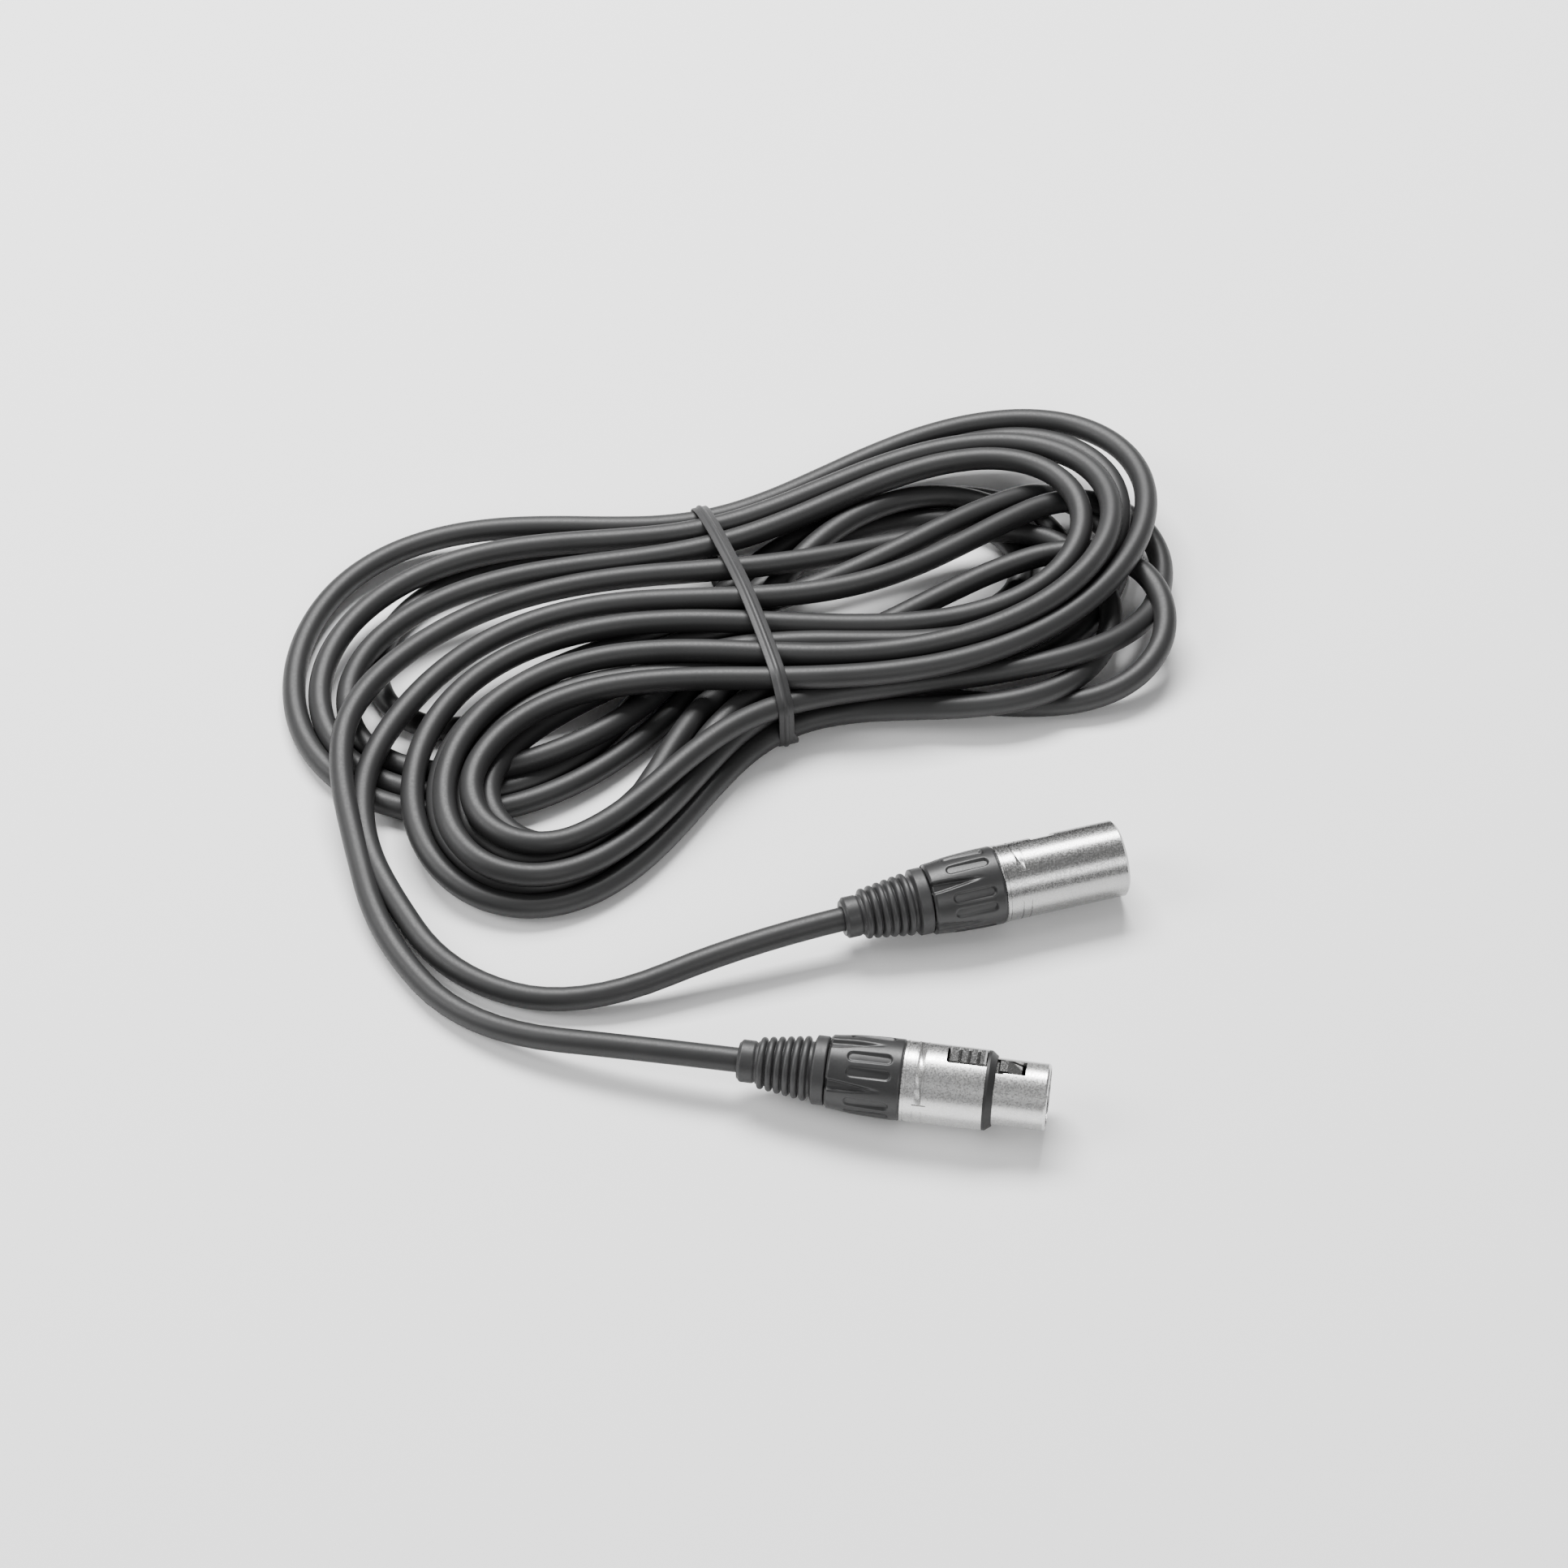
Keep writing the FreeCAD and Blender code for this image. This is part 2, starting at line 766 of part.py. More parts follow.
def make_latch_lever():
    """Side profile of the push button, its arm and its hook, padded across the slot."""
    label = "latch_lever"
    body = new_body(label)
    sketch = new_sketch(body, label + "_profile", "XZ_Plane")
    top = "female_dia/2 + button_proud"
    rear = BUTTON_REAR + " + button_gap"
    front = FEMALE_STEP + " - 0.3"
    points = [
        (rear, "4.7"),
        (rear, top + " - 0.6"),
        (rear + " + 0.5", top),
        (rear + " + 2.2", top),
        (rear + " + 2.6", top + " - 0.5"),
        (rear + " + 3.0", top),
        (rear + " + 4.4", top),
        (rear + " + 4.8", top + " - 0.5"),
        (rear + " + 5.2", top),
        (rear + " + 6.6", top),
        (rear + " + 7.0", top + " - 0.5"),
        (rear + " + 7.4", top),
        (front + " - 0.4", top),
        (front, top + " - 0.4"),
        (front, "7.2"),
        (NOSE_START + " + 0.5", "7.2"),
        (NOSE_START + " + 0.8", "nose_dia/2 - 0.1"),
        (NOSE_START + " + 2.6", "nose_dia/2 - 0.1"),
        (NOSE_START + " + 0.6 + hook_len", "6.6"),
        (NOSE_START + " + 0.6 + hook_len", "6.0"),
        (NOSE_START + " - 1", "6.0"),
        (FEMALE_STEP + " - 1", "6.2"),
        (rear + " + 3.5", "6.2"),
        (rear + " + 2.8", "4.7"),
    ]
    outline(sketch, points)
    side_pad(body, label + "_arm", sketch, "hook_width")
    wide = new_sketch(body, label + "_button_profile", "XZ_Plane")
    outline(wide, points[:14] + [(front, "7.5"), (rear, "7.5")])
    side_pad(body, label + "_button", wide, "button_width")
    pivot_hole(body, label + "_pivot", "latch_pin_dia/2 + 0.05")
    lay(body, "female")
    return body


def make_latch_pin():
    body = new_body("latch_pin")
    sketch = pivot_circle(body, "latch_pin_outline", "latch_pin_dia/2")
    side_pad(body, "latch_pin_pad", sketch, "latch_pin_len")
    lay(body, "female")
    return body


def make_latch_spring():
    """A leaf spring folded between the channel's floor and the lever."""
    body = new_body("latch_spring")
    sketch = new_sketch(body, "latch_spring_profile", "XZ_Plane")
    start = BUTTON_REAR + " + 4.5"
    points = [
        (start, CHANNEL_FLOOR),
        (start + " + 4.6", CHANNEL_FLOOR),
        (start + " + 4.8", CHANNEL_FLOOR + " + 0.2"),
        (start + " + 4.6", CHANNEL_FLOOR + " + 0.4"),
        (start + " + 0.4", "6.2"),
        (start, "6.2"),
        (start, "6.1"),
        (start + " + 4.0", CHANNEL_FLOOR + " + 0.32"),
        (start + " + 4.0", CHANNEL_FLOOR + " + 0.2"),
        (start, CHANNEL_FLOOR + " + 0.2"),
    ]
    outline(sketch, points)
    side_pad(body, "latch_spring_pad", sketch, "hook_width*0.6")
    lay(body, "female")
    return body


def pillow(body, name, spots, levels):
    """A loft through one closed outline at several heights, drawn in a little at each end."""
    middle = V(sum(x for x, y in spots) / len(spots), sum(y for x, y in spots) / len(spots), 0)
    sketches = []
    for number, (high, inset) in enumerate(levels):
        sketch = new_sketch(body, "%s_level%d" % (name, number), "XY_Plane", lift=high)
        places = []
        for x, y in spots:
            arm = V(x, y, 0) - middle
            places.append(middle + arm * (1 - inset / arm.Length))
        curve = Part.BSplineCurve()
        curve.interpolate(places, PeriodicFlag=True)
        sketch.addGeometry(curve, False)
        sketches.append(sketch)
    loft = body.newObject("PartDesign::AdditiveLoft", name)
    loft.Profile = sketches[0]
    loft.Sections = sketches[1:]
    body.Tip = loft
    doc.recompute()
    return loft


# Plan outlines of the hank's parts, (x, y), each going once around.
LEFT_LOBE = [
    (-12, 84), (-45, 88), (-75, 86), (-100, 76), (-117, 58), (-124, 38), (-121, 14), (-108, -2),
    (-97, -12), (-93, -28), (-83, -42), (-66, -47), (-48, -43), (-28, -24), (-8, 4), (-4, 45),
]
WAIST = [
    (-60, 82), (-60, 30), (-30, 0), (-2, 14), (30, 28), (55, 30), (55, 98), (15, 90), (-20, 86),
]
RIGHT_LOW = [
    (0, 88), (-2, 50), (4, 18), (30, 22), (58, 23), (80, 28), (96, 40), (101, 56),
    (96, 74), (80, 84), (50, 90), (20, 92),
]
RIGHT_MID = [
    (16, 90), (18, 44), (40, 36), (64, 40), (86, 52), (97, 70), (96, 90), (86, 104),
    (64, 110), (40, 104),
]
RIGHT_TOP = [
    (42, 100), (44, 56), (62, 52), (82, 60), (95, 78), (94, 96), (81, 107), (62, 109),
]


HANK = V(S["hank_x"], S["hank_y"], 0)


def make_hank():
    body = new_body("cable_hank")
    pillow(
        body,
        "left_lobe",
        LEFT_LOBE,
        [("0", 3.0), ("4", 0.3), ("left_high - 5", 0.3), ("left_high", 4.5)],
    )
    pillow(
        body,
        "waist",
        WAIST,
        [("waist_low", 2.5), ("waist_low + 4", 0.3), ("waist_high - 4", 0.3), ("waist_high", 3.0)],
    )
    pillow(
        body,
        "right_low",
        RIGHT_LOW,
        [("0", 3.0), ("4", 0.3), ("right_low_high - 4", 0.3), ("right_low_high", 4.0)],
    )
    pillow(
        body,
        "right_mid",
        RIGHT_MID,
        [("9", 2.0), ("13", 0.3), ("right_mid_high - 5", 0.3), ("right_mid_high", 4.0)],
    )
    pillow(
        body,
        "right_top",
        RIGHT_TOP,
        [("15", 2.0), ("19", 0.3), ("right_high - 6", 0.5), ("right_high", 5.0)],
    )
    body.Placement = FreeCAD.Placement(HANK, FreeCAD.Rotation())
    body.setExpression("Placement.Base.x", "Sheet.hank_x")
    body.setExpression("Placement.Base.y", "Sheet.hank_y")
    return body


# Centre lines of the free cable, from inside the boot to inside the hank.
MALE_TAIL = [(-50, -76, 3.1), (-82, -65, 3.1), (-99, -37, 4.8), (-102, -7, 10.6), (-95, 20, 12.2)]
FEMALE_TAIL = [(-76, -82, 3.1), (-99, -53, 3.1), (-107.5, -22, 7.8), (-108.5, 8, 11.6), (-98, 37, 12.5)]
BEND_SHARE = 0.45


def along(which, distance):
    """A point on a connector's axis, this far in front of its boot's rear."""
    turn = math.radians(S[which + "_yaw"])
    return V(
        S[which + "_x"] + distance * math.cos(turn),
        S[which + "_y"] + distance * math.sin(turn),
        S[which + "_high"],
    )


def bent_wire(label, points):
    """Straight runs joined by tangent arcs."""
    edges = []
    start = points[0]
    radii = []
    for before, corner, after in zip(points, points[1:], points[2:]):
        into = (corner - before).normalize()
        out = (after - corner).normalize()
        turn = into.getAngle(out)
        back = BEND_SHARE * min((corner - before).Length, (after - corner).Length)
        radii.append(back / math.tan(turn / 2))
        first = corner - into * back
        last = corner + out * back
        middle = corner + (out - into).normalize() * radii[-1] * (1 / math.cos(turn / 2) - 1)
        edges.append(Part.LineSegment(start, first).toShape())
        edges.append(Part.Arc(first, middle, last).toShape())
        start = last
    edges.append(Part.LineSegment(start, points[-1]).toShape())
    print(label, "bend radii", [round(r, 1) for r in radii])
    return Part.Wire(edges)


def make_tail(label, which, reach, lead, spots):
    points = [along(which, reach), along(which, -lead)] + [V(*s) + HANK for s in spots]
    wire = bent_wire(label, points)
    ring = Part.Wire([Part.Circle(points[0], points[1] - points[0], S["cord_dia"] / 2).toShape()])
    tube = wire.makePipeShell([ring], True, True)
    ratio = tube.Volume / (math.pi * S["cord_dia"] ** 2 / 4 * wire.Length)
    if abs(ratio - 1) > 0.01:
        raise RuntimeError("%s is not a plain tube: %.3f" % (label, ratio))
    print(label, "length", round(wire.Length, 1), "volume ratio", round(ratio, 4))
    feature = doc.addObject("Part::Feature", label)
    feature.Label = label
    feature.Shape = tube
    return feature


# Tie: a flat strip around the waist, with a wire along its middle.
TIE_FRONT = V(0.8, 11.5, 0)
TIE_BACK = V(-22.8, 89.5, 0)


def tie_frame():
    """The strip's own frame: X across the hank from front to back, Y up, Z along the hank."""
    across = (TIE_BACK - TIE_FRONT).normalize()
    up = V(0, 0, 1)
    rot = FreeCAD.Rotation(across, up, across.cross(up), "XYZ")
    return FreeCAD.Placement(TIE_FRONT + HANK + V(0, 0, S["tie_low"]), rot), (TIE_BACK - TIE_FRONT).Length


def make_tie():
    placement, span = tie_frame()
    corner = 6.0
    rise = "(waist_high + tie_thick)"
    body = new_body("tie_strip")
    sketch = new_sketch(body, "tie_loop", "XY_Plane")
    far = "%.3f" % span
    cut_in = "%.1f" % corner
    outer = [
        (cut_in, "0"),
        (far + " - " + cut_in, "0"),
        (far, rise + "*0.3"),
        (far, rise + "*0.6"),
        (far + " - " + cut_in, rise),
        (cut_in, rise),
        ("0", rise + "*0.6"),
        ("0", rise + "*0.3"),
    ]
    inner = [
        (cut_in + " + 0.3", "tie_thick"),
        (far + " - " + cut_in + " - 0.3", "tie_thick"),
        (far + " - tie_thick", rise + "*0.3 + 0.3"),
        (far + " - tie_thick", rise + "*0.6 - 0.3"),
        (far + " - " + cut_in + " - 0.3", rise + " - tie_thick"),
        (cut_in + " + 0.3", rise + " - tie_thick"),
        ("tie_thick", rise + "*0.6 - 0.3"),
        ("tie_thick", rise + "*0.3 + 0.3"),
    ]
    outline(sketch, outer)
    outline(sketch, inner)
    pad = body.newObject("PartDesign::Pad", "tie_strip_pad")
    pad.Profile = sketch
    pad.Length = S["tie_width"]
    pad.setExpression("Length", "Sheet.tie_width")
    pad.Midplane = True
    body.Tip = pad
    doc.recompute()
    body.Placement = placement
    return body


make_boot("male")
make_boot("female")
make_bushing("male")
make_bushing("female")
make_chuck("male")
make_chuck("female")
make_male_shell()
make_male_insert()
make_male_pins()
make_female_shell()
make_female_ring()
make_female_insert()
make_female_sockets()
make_latch_lever()
make_latch_pin()
make_latch_spring()
make_hank()
make_tail("male_tail", "male", 36.0, 21.0, MALE_TAIL)
make_tail("female_tail", "female", 36.0, 20.0, FEMALE_TAIL)
make_tie()
doc.recompute()

NODES = [o for o in doc.Objects if o.isDerivedFrom("PartDesign::Body") or o.TypeId == "Part::Feature"]
for obj in doc.Objects:
    if "Invalid" in obj.State or "Error" in obj.State:
        raise RuntimeError("%s did not compute: %s" % (obj.Name, obj.State))
for node in NODES:
    shape = node.Shape
    if shape.isNull() or not shape.isValid():
        raise RuntimeError(node.Label + " has no valid shape")
box = FreeCAD.BoundBox()
for node in NODES:
    node.Shape.exportStep("parts/%s.step" % node.Label)
    box.add(node.Shape.BoundBox)
    print("%-18s solids %d volume %.1f" % (node.Label, len(node.Shape.Solids), node.Shape.Volume))
print("box", [round(v, 2) for v in (box.XMin, box.XMax, box.YMin, box.YMax, box.ZMin, box.ZMax)])
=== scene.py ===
# XLR cable coil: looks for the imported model, in metres, in the frame of the CAD.
import math

import bpy
import bmesh
from mathutils import Matrix, Vector


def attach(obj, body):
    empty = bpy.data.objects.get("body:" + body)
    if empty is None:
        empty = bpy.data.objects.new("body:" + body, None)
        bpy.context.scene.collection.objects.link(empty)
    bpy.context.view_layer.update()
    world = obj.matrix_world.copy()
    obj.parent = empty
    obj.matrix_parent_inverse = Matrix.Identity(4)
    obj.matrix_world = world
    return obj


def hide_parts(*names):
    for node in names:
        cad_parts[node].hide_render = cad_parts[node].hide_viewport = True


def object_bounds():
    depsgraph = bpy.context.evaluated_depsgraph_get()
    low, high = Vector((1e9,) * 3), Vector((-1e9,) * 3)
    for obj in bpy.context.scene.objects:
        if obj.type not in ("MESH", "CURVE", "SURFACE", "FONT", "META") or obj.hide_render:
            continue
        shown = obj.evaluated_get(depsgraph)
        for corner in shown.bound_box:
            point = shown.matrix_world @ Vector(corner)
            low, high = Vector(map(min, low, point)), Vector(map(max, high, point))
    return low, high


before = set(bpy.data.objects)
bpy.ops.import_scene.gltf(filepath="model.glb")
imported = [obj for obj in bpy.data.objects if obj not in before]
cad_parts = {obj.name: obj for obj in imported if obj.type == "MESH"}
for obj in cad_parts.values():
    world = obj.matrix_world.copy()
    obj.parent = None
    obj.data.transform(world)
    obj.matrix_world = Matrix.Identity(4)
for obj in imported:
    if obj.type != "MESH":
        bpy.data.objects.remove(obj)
cad_low, cad_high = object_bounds()

MM = 0.001
scene = bpy.context.scene


# ---------------------------------------------------------------- camera
CAMERA_SPOT = (0.0122, -0.7730, 0.8755)
CAMERA_TILT = 41.5  # degrees from straight down
CAMERA_LENS = 106.2

cam_data = bpy.data.cameras.new("camera")
cam_data.lens = CAMERA_LENS
cam_data.sensor_width = 36.0
cam_data.clip_start = 0.01
cam_data.clip_end = 50.0
camera = bpy.data.objects.new("camera", cam_data)
scene.collection.objects.link(camera)
camera.location = CAMERA_SPOT
camera.rotation_euler = (math.radians(CAMERA_TILT), 0.0, 0.0)
scene.camera = camera


# ---------------------------------------------------------------- cord
# One cable runs from the male connector, through every turn of the hank, to
# the female connector. Control points of its centre line, in mm.
CORD_DIA = 6.0 * MM
CORD_ROUTE = [
    # from the male boot into the hank
    (34.1, -48.6, 9.7), (6.2, -56.6, 9.7), (-37.8, -74.4, 3.1), (-69.8, -63.4, 3.1),
    (-86.8, -35.4, 4.8), (-92.6, -19.7, 6.0), (-93.5, -5.3, 7.8), (-89.8, 6.9, 9.7),
    (-83.8, 18.0, 10.8), (-76.0, 28.8, 11.5), (-66.1, 38.5, 11.9), (-54.0, 46.0, 12.3),
    (-40.3, 50.5, 13.0), (-25.6, 52.1, 14.0), (-10.7, 52.0, 15.0), (4.2, 51.7, 15.8),
    (18.9, 52.9, 16.2),
    # fold 1, right lobe
    (33.2, 56.6, 16.2), (46.7, 63.1, 16.1), (59.1, 71.7, 15.6), (70.8, 80.9, 14.7),
    (82.1, 89.0, 13.2), (94.1, 92.3, 10.8), (104.7, 88.2, 8.2), (110.8, 78.0, 6.6),
    (111.1, 64.9, 6.7), (106.6, 51.8, 8.5), (97.3, 41.0, 10.9), (84.4, 33.9, 12.1),
    (69.8, 29.9, 11.7), (54.7, 27.7, 10.7), (39.5, 25.7, 10.2), (24.9, 22.8, 10.8),
    (11.2, 17.5, 12.3), (-1.1, 9.2, 13.7),
    # fold 2, left lobe
    (-11.7, -1.6, 14.1), (-21.6, -13.3, 13.8), (-32.1, -23.4, 13.2), (-43.8, -29.9, 12.9),
    (-55.8, -28.4, 12.9), (-64.2, -20.6, 13.4), (-66.3, -8.8, 14.2), (-61.0, 3.2, 14.9),
    (-50.8, 13.0, 15.4), (-37.4, 19.4, 15.7), (-22.5, 22.6, 15.7), (-7.3, 23.4, 15.8),
    (7.8, 23.1, 16.0),
    # fold 3, right lobe
    (22.9, 23.2, 16.4), (37.9, 24.4, 16.6), (52.8, 27.4, 16.6), (67.1, 32.7, 16.7),
    (80.5, 40.4, 17.0), (92.2, 50.8, 17.4), (101.3, 63.5, 17.8), (106.7, 77.8, 17.8),
    (107.3, 92.6, 17.3), (102.1, 106.0, 16.4), (91.6, 115.5, 15.2), (77.9, 119.9, 13.8),
    (63.1, 119.6, 12.3), (48.4, 115.7, 10.9), (34.4, 109.3, 9.6), (21.1, 101.6, 8.6),
    (8.0, 94.0, 8.0), (-5.3, 88.2, 7.7), (-19.4, 85.4, 7.5),
    # fold 4, left lobe
    (-34.0, 85.3, 7.3), (-49.0, 86.2, 6.8), (-64.1, 86.2, 6.1), (-78.8, 84.0, 5.1),
    (-92.3, 78.2, 4.2), (-103.2, 68.5, 3.5), (-110.5, 55.4, 3.1), (-113.9, 40.3, 3.0),
    (-113.2, 24.8, 3.0), (-108.2, 10.3, 3.0), (-98.8, -1.5, 3.1), (-85.8, -9.1, 3.1),
    (-70.9, -11.6, 3.2), (-56.0, -9.2, 3.3), (-42.3, -2.5, 3.3), (-30.2, 7.2, 3.1),
    (-19.7, 18.7, 3.0), (-10.6, 31.2, 3.1), (-2.5, 44.1, 4.0), (5.2, 57.2, 5.7),
    (13.4, 69.7, 7.6), (22.9, 80.9, 9.0), (34.0, 90.0, 9.2),
    # fold 5, right lobe
    (46.6, 95.9, 8.5), (59.8, 97.2, 7.1), (71.6, 93.1, 5.3), (79.4, 83.8, 3.8),
    (81.1, 71.8, 3.0), (76.4, 60.0, 3.0), (66.6, 51.0, 3.0), (53.8, 45.8, 3.1),
    (39.8, 43.5, 3.0), (25.9, 42.4, 3.0), (12.4, 39.9, 3.5), (0.7, 33.3, 4.9),
    (-7.9, 22.8, 7.0), (-14.3, 10.0, 8.6),
    # fold 6, left lobe
    (-20.2, -3.6, 8.9), (-27.3, -16.5, 8.1), (-36.9, -26.3, 7.1), (-48.8, -30.5, 6.7),
    (-60.4, -27.3, 7.0), (-67.8, -17.5, 7.9), (-68.7, -4.6, 9.2), (-63.1, 7.9, 10.6),
    (-52.7, 17.6, 11.8), (-39.3, 23.8, 12.6), (-24.6, 27.1, 12.5), (-9.9, 29.1, 11.3),
    (4.2, 32.1, 9.8), (17.5, 37.3, 8.7),
    # fold 7, right lobe
    (30.3, 44.1, 8.7), (42.9, 51.7, 9.4), (55.7, 59.6, 10.3), (68.6, 66.8, 11.2),
    (81.7, 71.8, 12.0), (95.1, 72.0, 12.5), (105.9, 65.0, 12.5), (111.0, 53.3, 11.4),
    (109.7, 40.8, 9.1), (101.6, 30.8, 6.2), (88.6, 25.9, 3.9), (73.5, 25.4, 3.0),
    (57.7, 27.0, 3.0), (41.9, 28.5, 4.0), (26.7, 27.8, 5.5), (12.9, 22.9, 7.1),
    (1.7, 13.3, 8.1),
    # fold 8, left lobe
    (-7.4, 0.8, 8.3), (-16.1, -12.5, 8.3), (-25.8, -24.6, 8.5), (-37.2, -33.9, 9.0),
    (-50.1, -38.0, 9.9), (-62.6, -34.8, 11.2), (-70.7, -24.7, 12.5), (-72.9, -11.3, 13.8),
    (-69.7, 2.6, 14.8), (-61.7, 15.0, 15.4), (-50.1, 24.5, 15.7), (-36.2, 30.3, 15.9),
    (-21.3, 32.7, 16.0), (-6.2, 32.7, 16.1), (8.9, 31.8, 16.0),
    # fold 9, right lobe
    (23.9, 31.1, 16.2), (38.8, 31.6, 16.9), (53.6, 33.9, 18.1), (67.9, 38.7, 19.5),
    (80.7, 46.3, 20.8), (90.9, 56.8, 21.9), (97.0, 69.7, 22.2), (97.6, 83.6, 21.5),
    (92.1, 96.2, 20.1), (81.2, 104.8, 18.3), (67.4, 108.2, 16.5), (52.7, 107.0, 14.9),
    (38.3, 102.5, 13.5), (24.6, 96.1, 12.2), (11.3, 89.4, 11.1), (-2.1, 83.6, 10.4),
    (-16.1, 79.9, 10.1),
    # fold 10, left lobe
    (-30.6, 78.2, 10.0), (-45.5, 77.1, 9.9), (-60.4, 75.2, 9.5), (-75.0, 71.1, 8.8),
    (-88.1, 64.0, 7.9), (-98.7, 53.7, 6.8), (-105.3, 40.9, 5.8), (-107.1, 26.8, 4.9),
    (-103.3, 13.0, 4.1), (-93.8, 1.9, 3.4), (-80.5, -4.4, 3.1), (-66.0, -5.4, 3.0),
    (-52.0, -1.2, 3.0), (-39.9, 7.4, 3.0), (-30.0, 19.2, 3.0), (-21.9, 32.7, 3.1),
    (-14.6, 46.6, 3.4), (-6.8, 60.1, 3.8), (2.5, 72.6, 3.9), (13.9, 83.7, 3.7),
    (27.2, 92.8, 3.4),
    # fold 11, right lobe
    (41.9, 99.3, 3.2), (57.2, 101.8, 3.1), (71.6, 99.1, 3.0), (82.8, 90.3, 3.0),
    (87.8, 76.6, 3.1), (84.8, 62.1, 3.8), (75.4, 50.6, 4.9), (62.2, 43.2, 6.2),
    (47.3, 39.0, 7.6), (32.1, 36.0, 9.0), (17.8, 31.8, 9.8), (5.5, 24.9, 9.5),
    (-4.3, 15.1, 7.9), (-11.9, 3.2, 5.7), (-18.9, -9.6, 3.8),
    # fold 12, left lobe
    (-26.9, -21.9, 3.0), (-37.0, -31.7, 3.0), (-49.5, -36.4, 3.6), (-62.4, -33.6, 4.9),
    (-71.6, -23.9, 6.7), (-75.0, -10.4, 8.4), (-72.5, 4.1, 9.5), (-64.9, 17.4, 9.6),
    (-53.6, 28.5, 9.2), (-40.2, 37.1, 8.7), (-26.0, 43.6, 8.6), (-11.6, 48.7, 9.0),
    (2.6, 53.1, 10.0), (16.4, 57.9, 11.5),
    # fold 13, right lobe
    (29.9, 63.6, 13.2), (42.9, 70.8, 14.6), (55.4, 79.3, 14.8), (67.5, 88.0, 13.2),
    (78.9, 95.5, 10.3), (90.1, 94.8, 6.7), (97.9, 88.2, 4.1), (100.9, 76.6, 3.0),
    (96.9, 63.3, 3.0), (89.2, 50.8, 3.0), (77.7, 41.4, 3.1), (63.7, 36.3, 3.0),
    (48.7, 34.4, 3.1), (33.6, 33.9, 3.3), (18.9, 32.3, 3.7), (5.4, 27.3, 3.8),
    (-6.0, 18.5, 3.4), (-15.3, 7.3, 3.0),
    # fold 14, left lobe
    (-23.7, -4.7, 3.0), (-32.4, -15.5, 3.4), (-42.2, -23.3, 4.6), (-52.5, -23.4, 6.6),
    (-59.7, -17.8, 8.4), (-62.4, -7.4, 9.4), (-57.9, 4.4, 8.8), (-49.5, 15.3, 7.4),
    (-38.5, 24.3, 7.0), (-25.9, 31.0, 8.3), (-12.4, 35.4, 10.7), (1.9, 37.3, 12.9),
    (16.7, 37.5, 14.3),
    # fold 15, right lobe
    (31.9, 37.1, 14.5), (47.3, 37.5, 14.2), (62.5, 40.2, 14.1), (76.7, 46.1, 14.5),
    (88.9, 55.6, 15.4), (97.4, 68.2, 16.2), (100.8, 82.7, 16.5), (98.1, 96.8, 16.2),
    (89.2, 107.6, 15.2), (76.3, 113.1, 13.7), (61.9, 113.1, 11.6), (47.6, 109.1, 9.4),
    (33.9, 102.6, 7.4), (20.8, 95.2, 5.8), (8.0, 88.1, 4.8), (-5.2, 82.9, 4.2),
    (-19.2, 80.3, 3.9),
    # fold 16, left lobe
    (-33.5, 79.5, 3.7), (-48.1, 78.4, 3.5), (-62.3, 75.4, 3.2), (-75.3, 69.4, 3.1),
    (-85.6, 59.9, 3.0), (-91.8, 47.8, 3.1), (-92.9, 34.8, 3.1), (-88.1, 23.7, 3.0),
    (-77.9, 17.6, 3.0), (-65.5, 17.9, 3.3), (-52.7, 22.7, 4.4), (-40.0, 29.6, 6.1),
    (-27.0, 36.5, 8.1), (-13.5, 42.4, 9.4), (0.7, 46.8, 9.3), (15.2, 49.5, 7.8),
    (29.9, 51.1, 5.6), (44.3, 52.7, 3.8),
    # fold 17, right lobe
    (57.9, 55.7, 3.0), (69.7, 61.2, 3.0), (74.9, 71.4, 3.0), (73.5, 81.8, 3.1),
    (65.9, 90.5, 3.1), (53.1, 92.8, 3.1), (39.3, 90.8, 3.0), (26.0, 84.8, 3.1),
    (13.8, 75.7, 3.2), (3.4, 64.1, 3.5), (-5.4, 50.9, 4.0), (-13.3, 37.1, 5.3),
    # fold 18, left lobe
    (-21.8, 24.0, 7.2), (-32.1, 12.9, 8.6), (-44.8, 4.9, 8.4), (-59.3, 0.7, 6.5),
    (-74.1, 0.8, 4.4), (-87.6, 5.3, 3.4), (-97.3, 14.7, 4.0), (-100.0, 27.3, 5.8),
    (-95.4, 39.9, 8.0), (-85.6, 50.4, 9.7), (-72.7, 58.2, 10.7), (-58.2, 63.5, 11.2),
    (-43.1, 66.9, 11.3), (-28.2, 69.5, 11.2), (-13.7, 72.6, 11.1), (0.3, 77.2, 11.3),
    # fold 19, right lobe
    (13.8, 83.5, 11.9), (27.2, 90.7, 12.9), (41.0, 97.2, 14.4), (55.3, 101.3, 16.0),
    (69.5, 101.3, 17.7), (81.7, 95.7, 19.0), (89.2, 85.0, 19.6), (90.0, 72.1, 19.2),
    (84.4, 59.9, 18.1), (73.7, 50.8, 16.8), (60.0, 45.5, 15.5), (45.1, 43.3, 14.7),
    (29.9, 43.0, 14.4), (14.9, 43.5, 14.6), (-0.2, 44.1, 14.9),
    # fold 20, left lobe
    (-15.2, 44.3, 15.0), (-30.1, 43.3, 14.5), (-44.6, 40.0, 13.8), (-58.0, 33.7, 13.0),
    (-69.2, 24.1, 12.1), (-77.1, 11.6, 11.0), (-81.0, -2.8, 9.6), (-80.2, -17.5, 7.8),
    (-74.3, -30.6, 5.9), (-63.7, -39.7, 4.3), (-50.3, -42.6, 3.4), (-36.6, -38.5, 3.0),
    (-24.7, -28.8, 3.0), (-14.6, -15.6, 3.0), (-5.5, -1.4, 3.2), (4.1, 11.0, 3.5),
    (15.6, 19.2, 4.0),
    # fold 21, right lobe
